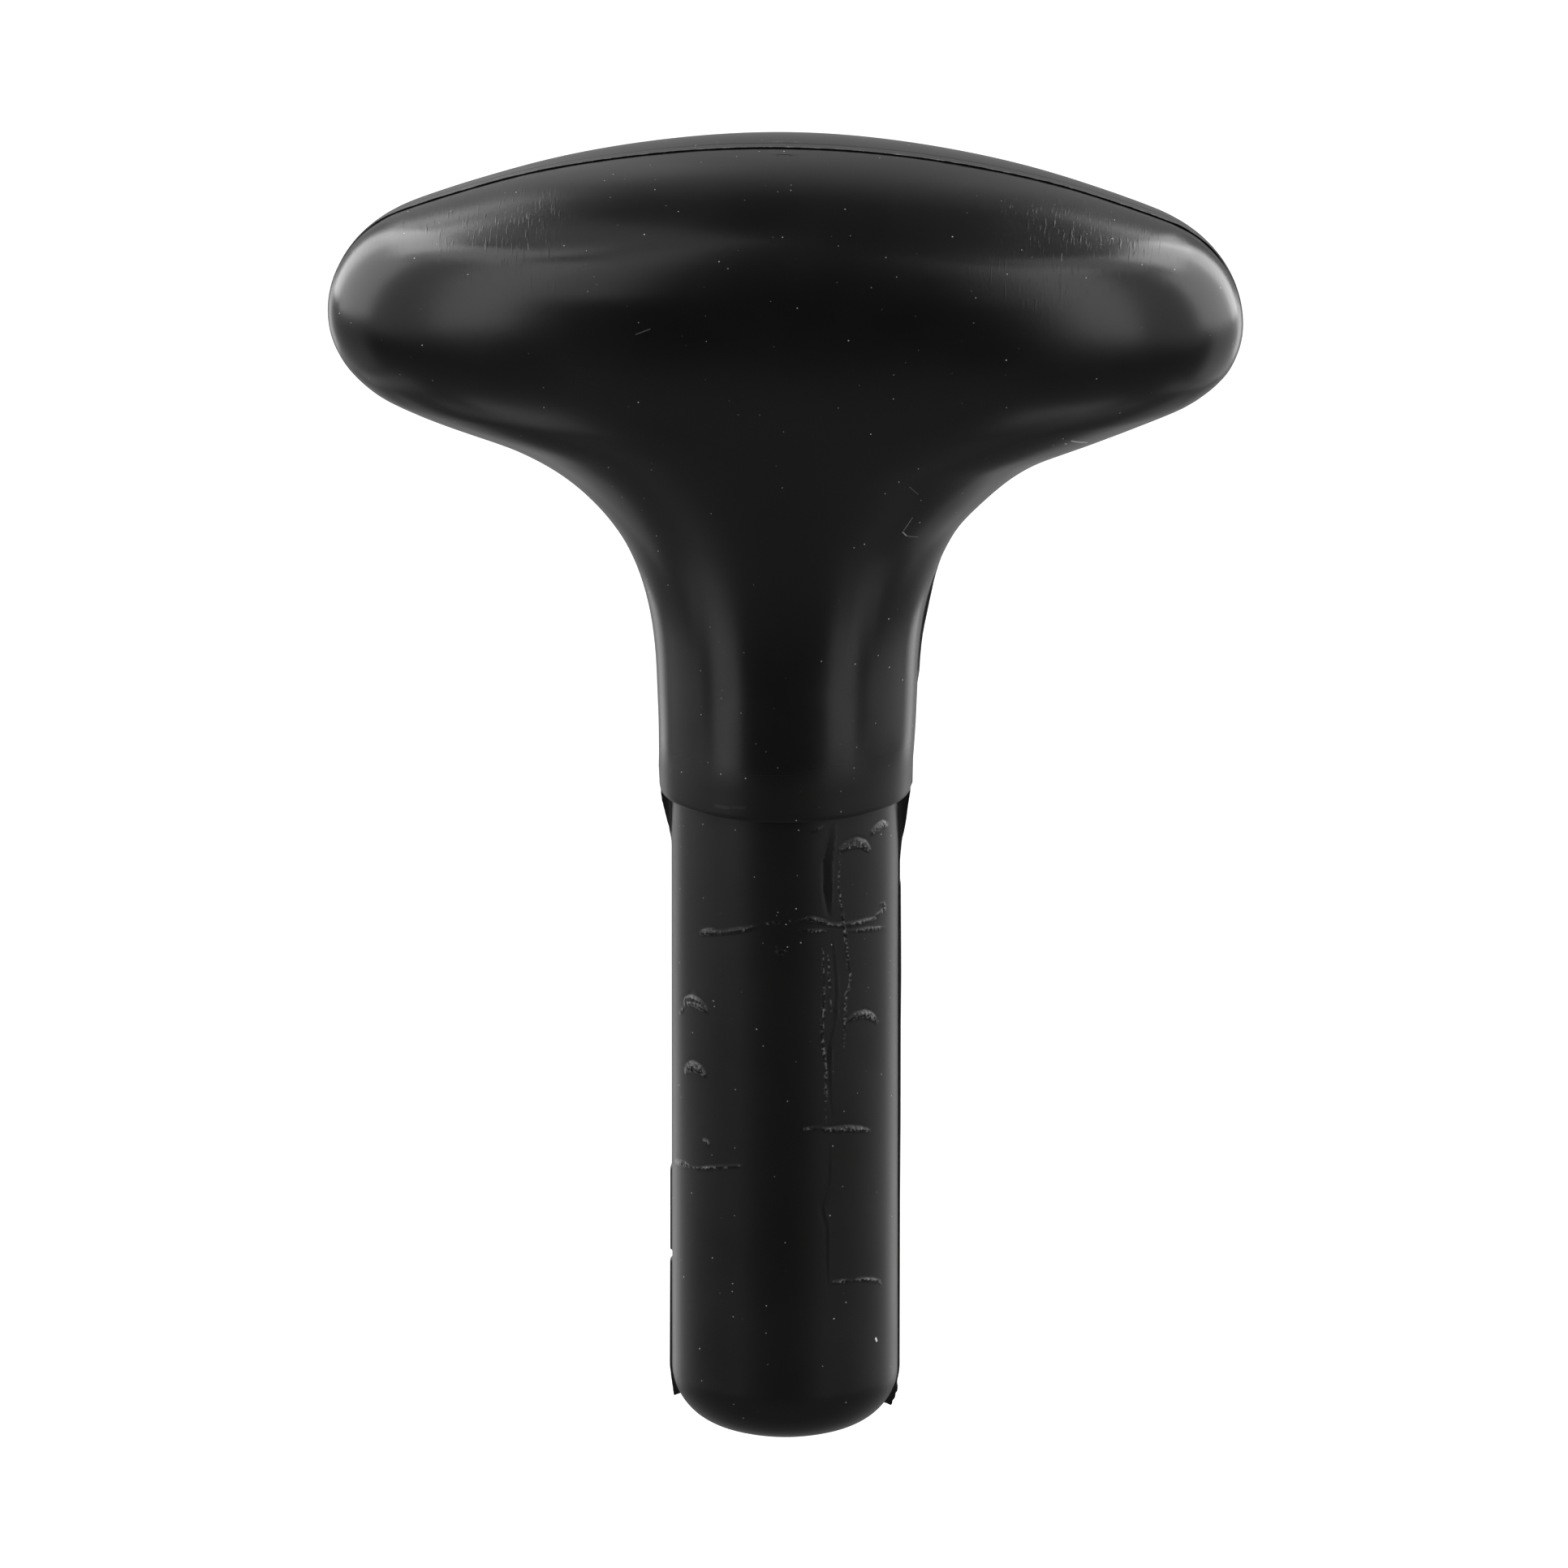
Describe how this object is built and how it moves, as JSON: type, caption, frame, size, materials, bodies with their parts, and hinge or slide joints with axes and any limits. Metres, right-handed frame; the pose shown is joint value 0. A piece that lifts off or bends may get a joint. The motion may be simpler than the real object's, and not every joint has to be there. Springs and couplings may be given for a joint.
{
  "type": "paddle t-grip",
  "caption": "One-piece moulded T-grip for a paddle shaft: a wide oval palm head on a flared neck, a collar flush with the tube, and a round spigot with a domed end that goes into it.",
  "frame": {"origin": "centre of the shoulder that seats on the end of the shaft tube, on the spigot's axis", "axes": "+Z along the spigot's axis towards the palm head, X across the palm from tip to tip, Y from front to back"},
  "size_m": [0.1038, 0.0408, 0.1521],
  "materials": {
    "black_plastic": "satin"
  },
  "bodies": {
    "root": {"grip": "black_plastic"}
  },
  "joints": []
}
